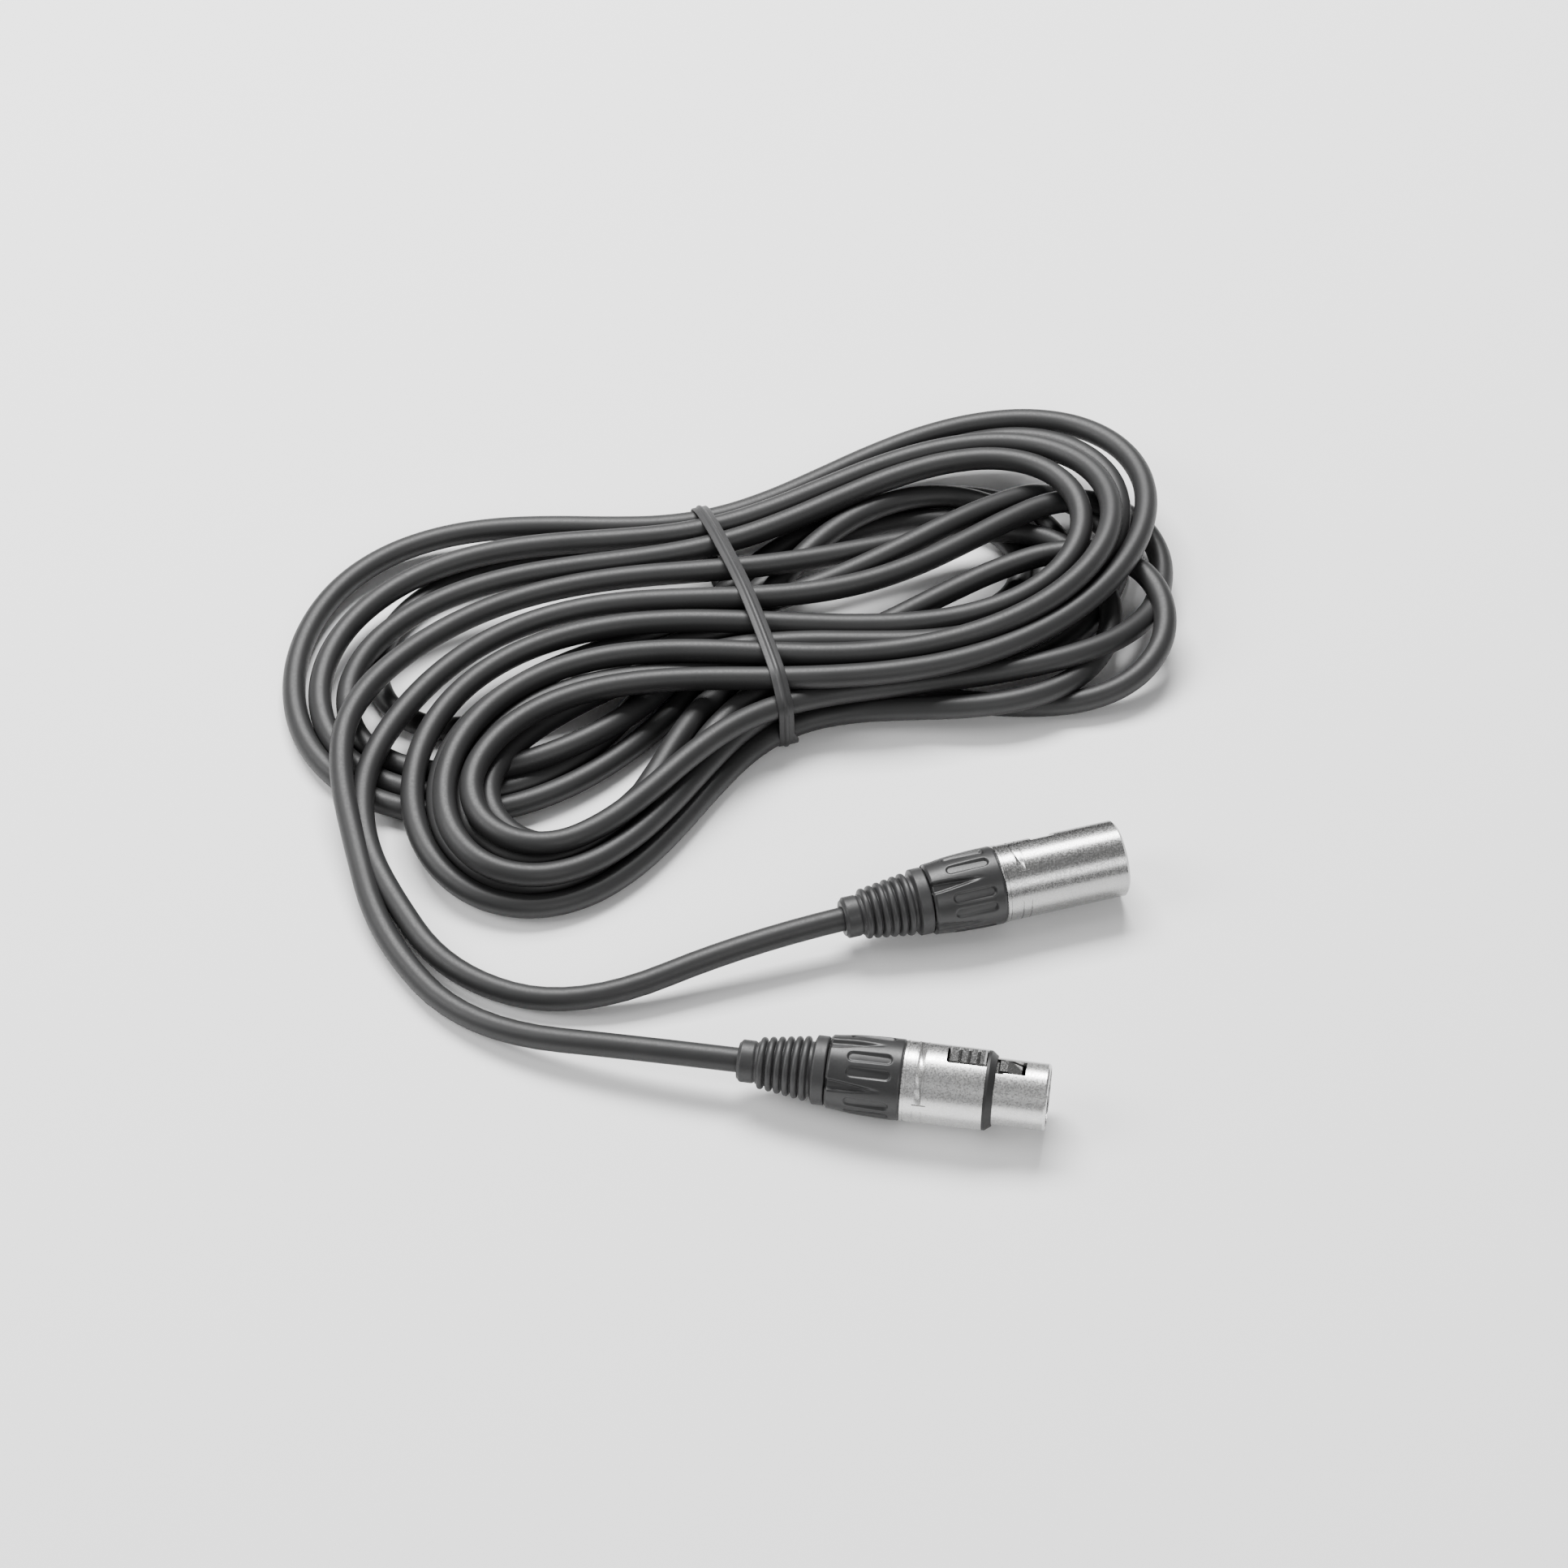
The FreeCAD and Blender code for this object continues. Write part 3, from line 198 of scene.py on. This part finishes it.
    (29.1, 22.1, 4.8), (43.7, 21.8, 6.1), (58.5, 21.1, 7.4), (72.9, 22.9, 8.1),
    (85.6, 29.2, 7.7), (94.3, 40.2, 7.1), (97.6, 53.8, 7.2), (95.0, 67.5, 7.6),
    (86.6, 78.1, 8.0), (74.1, 82.9, 8.5), (60.2, 82.1, 9.1), (46.2, 78.1, 10.1),
    (32.1, 73.0, 11.4), (18.0, 68.5, 12.4), (3.6, 65.5, 12.8),
    # out of the hank to the female boot
    (-11.0, 64.0, 12.6), (-25.7, 62.9, 12.2), (-40.3, 60.7, 11.7), (-54.4, 56.5, 11.5),
    (-67.4, 50.1, 11.5), (-78.6, 41.6, 11.7), (-87.9, 32.0, 12.0), (-94.9, 21.7, 12.2),
    (-99.1, 9.9, 11.8), (-98.9, -4.2, 10.3), (-95.3, -20.4, 7.8), (-86.8, -51.4, 3.1),
    (-63.8, -80.4, 3.1), (-18.4, -91.5, 9.8), (9.3, -95.8, 9.8),
]

curve = bpy.data.curves.new("cord", "CURVE")
curve.dimensions = "3D"
spline = curve.splines.new("NURBS")
spline.points.add(len(CORD_ROUTE) - 1)
for point, spot in zip(spline.points, CORD_ROUTE):
    point.co = (spot[0] * MM, spot[1] * MM, spot[2] * MM, 1.0)
    point.radius = CORD_DIA / 2
spline.order_u = 3
spline.use_endpoint_u = True
spline.resolution_u = 8
curve.bevel_depth = 1.0  # times each point's radius
curve.bevel_resolution = 6
curve.use_fill_caps = True
cord = bpy.data.objects.new("cord", curve)
scene.collection.objects.link(cord)
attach(cord, "cable")
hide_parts("cable_hank", "male_tail", "female_tail")


# ---------------------------------------------------------------- where the connectors lie
def lying(x, y, high, yaw, roll):
    """Where a connector lies: its boot's rear in mm, and its turns in degrees."""
    turned_by = Matrix.Rotation(math.radians(yaw), 4, "Z")
    rolled_by = Matrix.Rotation(math.radians(roll), 4, "X")
    return Matrix.Translation((x * MM, y * MM, high * MM)) @ (turned_by @ rolled_by)


MALE = lying(26.4, -50.77, 9.7, 16.0, -49.0)
FEMALE = lying(1.4, -94.57, 9.75, -8.7, -13.0)


# ---------------------------------------------------------------- materials
CLOUD_SCALE = 55.0
METAL_CLOUD_SCALE = 160.0
RUBBER_GLOSS = 0.42


def tree_of(name):
    mat = bpy.data.materials.new(name)
    mat.use_nodes = True
    nodes = mat.node_tree.nodes
    links = mat.node_tree.links
    return mat, nodes, links, nodes["Principled BSDF"]


def noise(nodes, links, scale, detail=2.0, rough=0.5):
    """A noise in object space, its scale counted per metre."""
    coord = nodes.new("ShaderNodeTexCoord")
    tex = nodes.new("ShaderNodeTexNoise")
    tex.inputs["Scale"].default_value = scale
    tex.inputs["Detail"].default_value = detail
    tex.inputs["Roughness"].default_value = rough
    links.new(coord.outputs["Object"], tex.inputs["Vector"])
    return tex


def ramp(nodes, links, source, stops):
    """Maps a factor to greys or colours, given as (place, value) pairs."""
    node = nodes.new("ShaderNodeValToRGB")
    elements = node.color_ramp.elements
    while len(elements) < len(stops):
        elements.new(0.5)
    for element, (place, value) in zip(elements, stops):
        element.position = place
        if isinstance(value, tuple):
            element.color = (*value, 1.0)
        else:
            element.color = (value, value, value, 1.0)
    links.new(source, node.inputs["Fac"])
    return node


def bump(nodes, links, bsdf, height, strength, distance):
    node = nodes.new("ShaderNodeBump")
    node.inputs["Strength"].default_value = strength
    node.inputs["Distance"].default_value = distance
    links.new(height, node.inputs["Height"])
    links.new(node.outputs["Normal"], bsdf.inputs["Normal"])


def rubber(name, dark, light, rough, grain=1800.0, grain_high=0.03, coat=0.0):
    """Moulded rubber or plastic: a broad drift of tone, a fine grain in gloss and height (mm)."""
    mat, nodes, links, bsdf = tree_of(name)
    broad = noise(nodes, links, CLOUD_SCALE, 3.0, 0.55)
    tones = [(0.32, (dark, dark, dark * 1.02)), (0.7, (light, light, light * 1.02))]
    tone = ramp(nodes, links, broad.outputs["Fac"], tones)
    links.new(tone.outputs["Color"], bsdf.inputs["Base Color"])
    fine = noise(nodes, links, grain, 3.0, 0.6)
    gloss = ramp(nodes, links, fine.outputs["Fac"], [(0.3, rough - 0.05), (0.75, rough + 0.07)])
    links.new(gloss.outputs["Color"], bsdf.inputs["Roughness"])
    bump(nodes, links, bsdf, fine.outputs["Fac"], 0.35, grain_high * MM)
    bsdf.inputs["Specular IOR Level"].default_value = RUBBER_GLOSS
    bsdf.inputs["Coat Weight"].default_value = coat
    bsdf.inputs["Coat Roughness"].default_value = 0.45
    return mat


def metal(name, tone, rough, speckle=2600.0, depth=0.012):
    """Bare plated metal: faint clouds in its tone, a speckle in gloss and height (mm)."""
    mat, nodes, links, bsdf = tree_of(name)
    bsdf.inputs["Metallic"].default_value = 1.0
    cloud = noise(nodes, links, METAL_CLOUD_SCALE, 4.0, 0.6)
    tones = [
        (0.3, (tone * 0.93, tone * 0.93, tone * 0.93)),
        (0.72, (tone, tone * 0.995, tone * 0.98)),
    ]
    shade = ramp(nodes, links, cloud.outputs["Fac"], tones)
    links.new(shade.outputs["Color"], bsdf.inputs["Base Color"])
    spots = noise(nodes, links, speckle, 2.0, 0.7)
    gloss = ramp(nodes, links, spots.outputs["Fac"], [(0.35, rough - 0.08), (0.68, rough + 0.12)])
    links.new(gloss.outputs["Color"], bsdf.inputs["Roughness"])
    bump(nodes, links, bsdf, spots.outputs["Fac"], 0.55, depth * MM)
    return mat


LOOKS = {
    "cable_sheath": rubber("cable_sheath", 0.015, 0.020, 0.50, coat=0.06),
    "boot_rubber": rubber("boot_rubber", 0.024, 0.031, 0.47),
    "bushing_plastic": rubber("bushing_plastic", 0.020, 0.026, 0.38, grain=2600.0, grain_high=0.02),
    "chuck_plastic": rubber("chuck_plastic", 0.030, 0.036, 0.45),
    "insert_plastic": rubber("insert_plastic", 0.016, 0.020, 0.36),
    "ring_rubber": rubber("ring_rubber", 0.014, 0.018, 0.5),
    "tie_plastic": rubber("tie_plastic", 0.024, 0.032, 0.46, grain=2400.0),
    "shell_metal": metal("shell_metal", 0.70, 0.30, speckle=2300.0, depth=0.02),
    # a darker copy of the shell plating for the male shell: painted shade, for the darker
    # reflections this shell shows where it lies
    "male_shell_painted_shade": metal("male_shell_painted_shade", 0.42, 0.25, speckle=2300.0, depth=0.02),
    "latch_metal": metal("latch_metal", 0.34, 0.18),
    "pin_metal": metal("pin_metal", 0.72, 0.2),
    "socket_metal": metal("socket_metal", 0.62, 0.3),
}
cord.data.materials.append(LOOKS["cable_sheath"])


# The first entry whose words a node's name holds gives its slot.
SLOTS = [
    ("_boot", "boot_rubber"),
    ("_bushing", "bushing_plastic"),
    ("_chuck", "chuck_plastic"),
    ("_shell", "shell_metal"),
    ("_insert", "insert_plastic"),
    ("male_pin", "pin_metal"),
    ("female_socket", "socket_metal"),
    ("female_ring", "ring_rubber"),
    ("latch", "latch_metal"),
    ("tie_strip", "tie_plastic"),
]


def slot_of(name):
    for words, slot in SLOTS:
        if words in name:
            return slot
    return "cable_sheath"


for name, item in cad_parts.items():
    # the male shell takes the darker copy of the shell metal, its shade painted into the tone
    look = "male_shell_painted_shade" if name == "male_shell" else slot_of(name)
    item.data.materials.clear()
    item.data.materials.append(LOOKS[look])


# ---------------------------------------------------------------- pieces made by turning
def new_piece(name, verts, faces, slot):
    """A closed smooth mesh that rides on the cable."""
    mesh = bpy.data.meshes.new(name)
    mesh.from_pydata(verts, [], faces)
    mesh.update()
    build = bmesh.new()
    build.from_mesh(mesh)
    bmesh.ops.recalc_face_normals(build, faces=build.faces)
    build.to_mesh(mesh)
    build.free()
    for face in mesh.polygons:
        face.use_smooth = True
    item = bpy.data.objects.new(name, mesh)
    scene.collection.objects.link(item)
    mesh.materials.append(LOOKS[slot])
    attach(item, "cable")
    return item


def turned(name, profile, place, slot, around=128, carve=None):
    """Turns a closed (along, radius) outline about a connector's own axis, in mm."""
    verts = []
    for along, radius in profile:
        for step in range(around):
            turn = 2 * math.pi * step / around
            depth = carve(along, turn, radius) if carve else 0.0
            here = radius - depth
            spot = Vector((along * MM, -math.sin(turn) * here * MM, math.cos(turn) * here * MM))
            verts.append(place @ spot)
    faces = []
    rows = len(profile)
    for row in range(rows):
        nxt = (row + 1) % rows
        for step in range(around):
            side = (step + 1) % around
            here, there = row * around, nxt * around
            faces.append((here + step, here + side, there + side, there + step))
    return new_piece(name, verts, faces, slot)


def smooth_step(value):
    """Rises smoothly from 0 at 0 to 1 at 1."""
    value = min(1.0, max(0.0, value))
    return value * value * (3 - 2 * value)


# Boot: rear collar, six rounded ribs that grow forward, front collar. In mm.
BOOT_LEN = 21.3
BOOT_BORE = 3.05
REAR_COLLAR_END = 4.5
REAR_COLLAR_RADIUS = 5.1
FRONT_COLLAR_START = 17.75
FRONT_COLLAR_RADIUS = 8.25
RIB_COUNT = 6
RIB_PITCH = 2.07
RIB_START = 5.0
RIB_HALF = 0.88
RIB_DEPTH = 1.15
FIRST_RIB_RADIUS = 6.25
LAST_RIB_MORE = 1.5


def boot_radius(along):
    if along < REAR_COLLAR_END:
        ease = min(along, REAR_COLLAR_END - along)
        share = 1.0 if along < 2.2 else 0.5
        return REAR_COLLAR_RADIUS - 0.75 * (1 - smooth_step(ease / 0.9)) * share
    if along > FRONT_COLLAR_START:
        ease = min(along - FRONT_COLLAR_START, BOOT_LEN - along + 0.35)
        share = 1.0 if along < 19.5 else 0.35
        return FRONT_COLLAR_RADIUS - 1.3 * (1 - smooth_step(ease / 0.7)) * share
    number = min(RIB_COUNT - 1, max(0, int((along - RIB_START + 0.28) / RIB_PITCH)))
    crest = FIRST_RIB_RADIUS + LAST_RIB_MORE * number / (RIB_COUNT - 1)
    middle = RIB_START + RIB_PITCH * number + 0.76
    away = abs(along - middle) / RIB_HALF
    if away >= 1:
        return crest - RIB_DEPTH
    return crest - RIB_DEPTH * (1 - (1 - away ** 2.4) ** 0.5)


def boot_profile():
    """Outer line from the rear, then the sleeve inside the bushing, then the bore."""
    spots = [(0.0, BOOT_BORE), (0.0, 3.9)]
    steps = 150
    for step in range(steps + 1):
        along = BOOT_LEN * step / steps
        spots.append((along, boot_radius(along)))
    sleeve_end = BOOT_LEN + 3.0
    spots += [(BOOT_LEN, 5.5), (sleeve_end, 5.5), (sleeve_end, BOOT_BORE)]
    return spots


# Bushing: five tapered flutes from the rear, a pair of sunk slots between each two. In mm.
BUSHING_REAR = 21.6
BUSHING_LEN = 17.9
BUSHING_FRONT = BUSHING_REAR + BUSHING_LEN
BUSHING_REAR_RADIUS = 8.8
FLUTES = 5
FLUTE_LONG = 14.0
FLUTE_HALF = 1.3
FLUTE_DEEP = 0.95
SLOT_DEEP = 0.75
SLOT_LONG = 10.5
SLOT_HALF = 1.15


def bushing_radius(along):
    part = (along - BUSHING_REAR) / BUSHING_LEN
    swell = 0.65 * smooth_step(part / 0.45)
    radius = BUSHING_REAR_RADIUS + swell + 0.25 * smooth_step((part - 0.35) / 0.45)
    rear = along - BUSHING_REAR
    front = BUSHING_FRONT - along
    if rear < 0.7:
        radius -= 0.55 * (1 - smooth_step(rear / 0.7)) ** 1.5
    if front < 0.5:
        radius -= 0.3 * (1 - smooth_step(front / 0.5))
    return radius


def bushing_carve(along, turn, radius):
    """How deep the surface lies under the plain turned shape."""
    if radius < 8.0:
        return 0.0
    fifth = 2 * math.pi / FLUTES
    rear = along - BUSHING_REAR
    depth = 0.0
    off = (turn + fifth / 2) % fifth - fifth / 2
    across = abs(off) * radius
    if rear < FLUTE_LONG:
        half = FLUTE_HALF * (1 - smooth_step(rear / FLUTE_LONG) * 0.8)
        deep = FLUTE_DEEP * (1 - smooth_step((rear - 7.0) / 7.0))
        depth = max(depth, deep * (1 - smooth_step((across - half + 0.35) / 0.7)))
    middle = BUSHING_FRONT - 2.6 - SLOT_LONG / 2
    for spot in (fifth / 3, 2 * fifth / 3):
        off = (turn % fifth) - spot
        across = abs(off) * radius
        beyond = max(0.0, abs(along - middle) - SLOT_LONG / 2 + SLOT_HALF)
        away = math.hypot(across, beyond)
        ease = 0.55 + 0.45 * smooth_step((along - middle + SLOT_LONG / 2) / SLOT_LONG)
        edge = 1 - smooth_step((away - SLOT_HALF + 0.15) / 0.35)
        depth = max(depth, SLOT_DEEP * ease * edge)
    return depth


def bushing_profile():
    """Outer line from the rear, then the threaded neck inside the shell, then the bore."""
    spots = [(BUSHING_REAR, 5.55), (BUSHING_REAR, 7.6)]
    steps = 96
    for step in range(steps + 1):
        along = BUSHING_REAR + BUSHING_LEN * step / steps
        spots.append((along, bushing_radius(along)))
    neck_end = BUSHING_FRONT + 6.0
    seat = BUSHING_REAR + 3.0
    spots += [(BUSHING_FRONT, 8.2), (BUSHING_FRONT, 7.55), (neck_end, 7.55)]
    spots += [(neck_end, 6.5), (seat, 6.5), (seat, 5.55)]
    return spots


for which, place in (("male", MALE), ("female", FEMALE)):
    boot = turned(which + "_boot_ribbed", boot_profile(), place, "boot_rubber")
    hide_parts(which + "_boot")
    bushing = turned(
        which + "_bushing_fluted", bushing_profile(), place, "bushing_plastic", 240, bushing_carve
    )
    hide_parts(which + "_bushing")


# ---------------------------------------------------------------- tie
# A flat strip with a wire along its middle, drawn tight around the waist of the hank.
# TIE_LOOP is its line: across the hank from TIE_FRONT towards TIE_BACK, and up. STRIP is its
# section: across its width, and out from its line. All in mm.
TIE_FRONT = Vector((13.0, 13.13, 0.0))
TIE_BACK = Vector((-10.6, 91.13, 0.0))
TIE_LOOP = [
    (2.2, 0.5), (9.5, 0.5), (30.0, 0.5), (56.0, 0.55), (66.0, 0.9), (73.5, 1.4),
    (79.0, 4.2), (81.0, 6.4), (81.2, 8.6), (79.9, 10.5), (76.0, 12.3), (68.0, 14.5),
    (56.0, 16.5), (42.0, 18.75), (31.0, 19.3), (21.0, 19.5), (13.0, 19.5), (9.4, 19.2),
    (5.8, 17.3), (2.1, 15.3), (0.8, 12.7), (0.6, 9.6), (0.3, 6.2), (0.0, 3.4), (0.6, 1.5),
]
STRIP = [
    (-2.0, -0.05), (-2.0, 0.22), (-1.85, 0.34), (-0.85, 0.36), (-0.6, 0.5),
    (-0.35, 0.72), (0.0, 0.8), (0.35, 0.72), (0.6, 0.5), (0.85, 0.36),
    (1.85, 0.34), (2.0, 0.22), (2.0, -0.05), (0.0, -0.12),
]
LEAN = 0.9  # how far the strip bows sideways over the top
FLARE = 1.1  # how far its corner stands out low at the front


def rounded_loop(spots, cuts=3):
    """Rounds a closed line by cutting its corners."""
    for _ in range(cuts):
        finer = []
        for here, there in zip(spots, spots[1:] + spots[:1]):
            finer.append(tuple(0.75 * a + 0.25 * b for a, b in zip(here, there)))
            finer.append(tuple(0.25 * a + 0.75 * b for a, b in zip(here, there)))
        spots = finer
    return spots


def make_tie():
    across = (TIE_BACK - TIE_FRONT).normalized()
    side = Vector((across.y, -across.x, 0.0))
    line = rounded_loop(TIE_LOOP)
    count = len(line)
    verts = []
    faces = []
    for i, (out, up) in enumerate(line):
        before = line[i - 1]
        after = line[(i + 1) % count]
        run = Vector((after[0] - before[0], after[1] - before[1])).normalized()
        outward = Vector((run.y, -run.x))
        over = min(1.0, max(0.0, out / 81.0))
        lean = LEAN * math.sin(math.pi * over) if up > 9 else 0.0
        flare = FLARE * smooth_step((6.0 - up) / 3.0) * smooth_step((2.5 - out) / 2.0)
        for wide, high in STRIP:
            if wide > 1.5:
                wide += flare
            flat = Vector((out, up)) + outward * high
            high_up = Vector((0, 0, max(flat.y, 0.05)))
            spot = TIE_FRONT + across * flat.x + side * (wide + lean) + high_up
            verts.append(spot * MM)
    rim = len(STRIP)
    for i in range(count):
        nxt = (i + 1) % count
        for k in range(rim):
            after = (k + 1) % rim
            here, there = i * rim, nxt * rim
            faces.append((here + k, here + after, there + after, there + k))
    return new_piece("tie_strip_wired", verts, faces, "tie_plastic")


tie = make_tie()
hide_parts("tie_strip")

# ---------------------------------------------------------------- floor and light
FLOOR_SIZE = 6.0
FLOOR_GAP = 0.0002
FLOOR_TONE = 0.97
WORLD_STRENGTH = 0.30

floor_mesh = bpy.data.meshes.new("floor")
shape = bmesh.new()
bmesh.ops.create_grid(shape, x_segments=1, y_segments=1, size=FLOOR_SIZE)
shape.to_mesh(floor_mesh)
shape.free()
floor = bpy.data.objects.new("floor", floor_mesh)
scene.collection.objects.link(floor)
floor.location = (0.0, 0.0, cad_low[2] - FLOOR_GAP)
floor_mat, floor_nodes, floor_links, floor_bsdf = tree_of("floor")
floor_bsdf.inputs["Base Color"].default_value = (FLOOR_TONE, FLOOR_TONE, FLOOR_TONE, 1.0)
floor_bsdf.inputs["Roughness"].default_value = 0.8
floor_bsdf.inputs["Specular IOR Level"].default_value = 0.1
floor_mesh.materials.append(floor_mat)


def softbox(name, spot, wide, deep, power):
    """A soft area light (metres, watts) that faces the middle of the scene."""
    light = bpy.data.lights.new(name, "AREA")
    light.shape = "RECTANGLE"
    light.size = wide
    light.size_y = deep
    light.energy = power
    item = bpy.data.objects.new(name, light)
    scene.collection.objects.link(item)
    item.location = spot
    way = -Vector(spot)
    item.rotation_euler = way.to_track_quat("-Z", "Y").to_euler()


softbox("top_back", (-0.15, 0.75, 1.15), 1.0, 0.5, 46.0)
softbox("left", (-1.1, -0.1, 0.9), 0.7, 0.7, 12.0)
softbox("front", (0.5, -1.1, 0.9), 0.8, 0.5, 6.0)

world = bpy.data.worlds.new("world")
world.use_nodes = True
background = world.node_tree.nodes["Background"]
background.inputs["Color"].default_value = (1.0, 1.0, 1.0, 1.0)
background.inputs["Strength"].default_value = WORLD_STRENGTH
scene.world = world
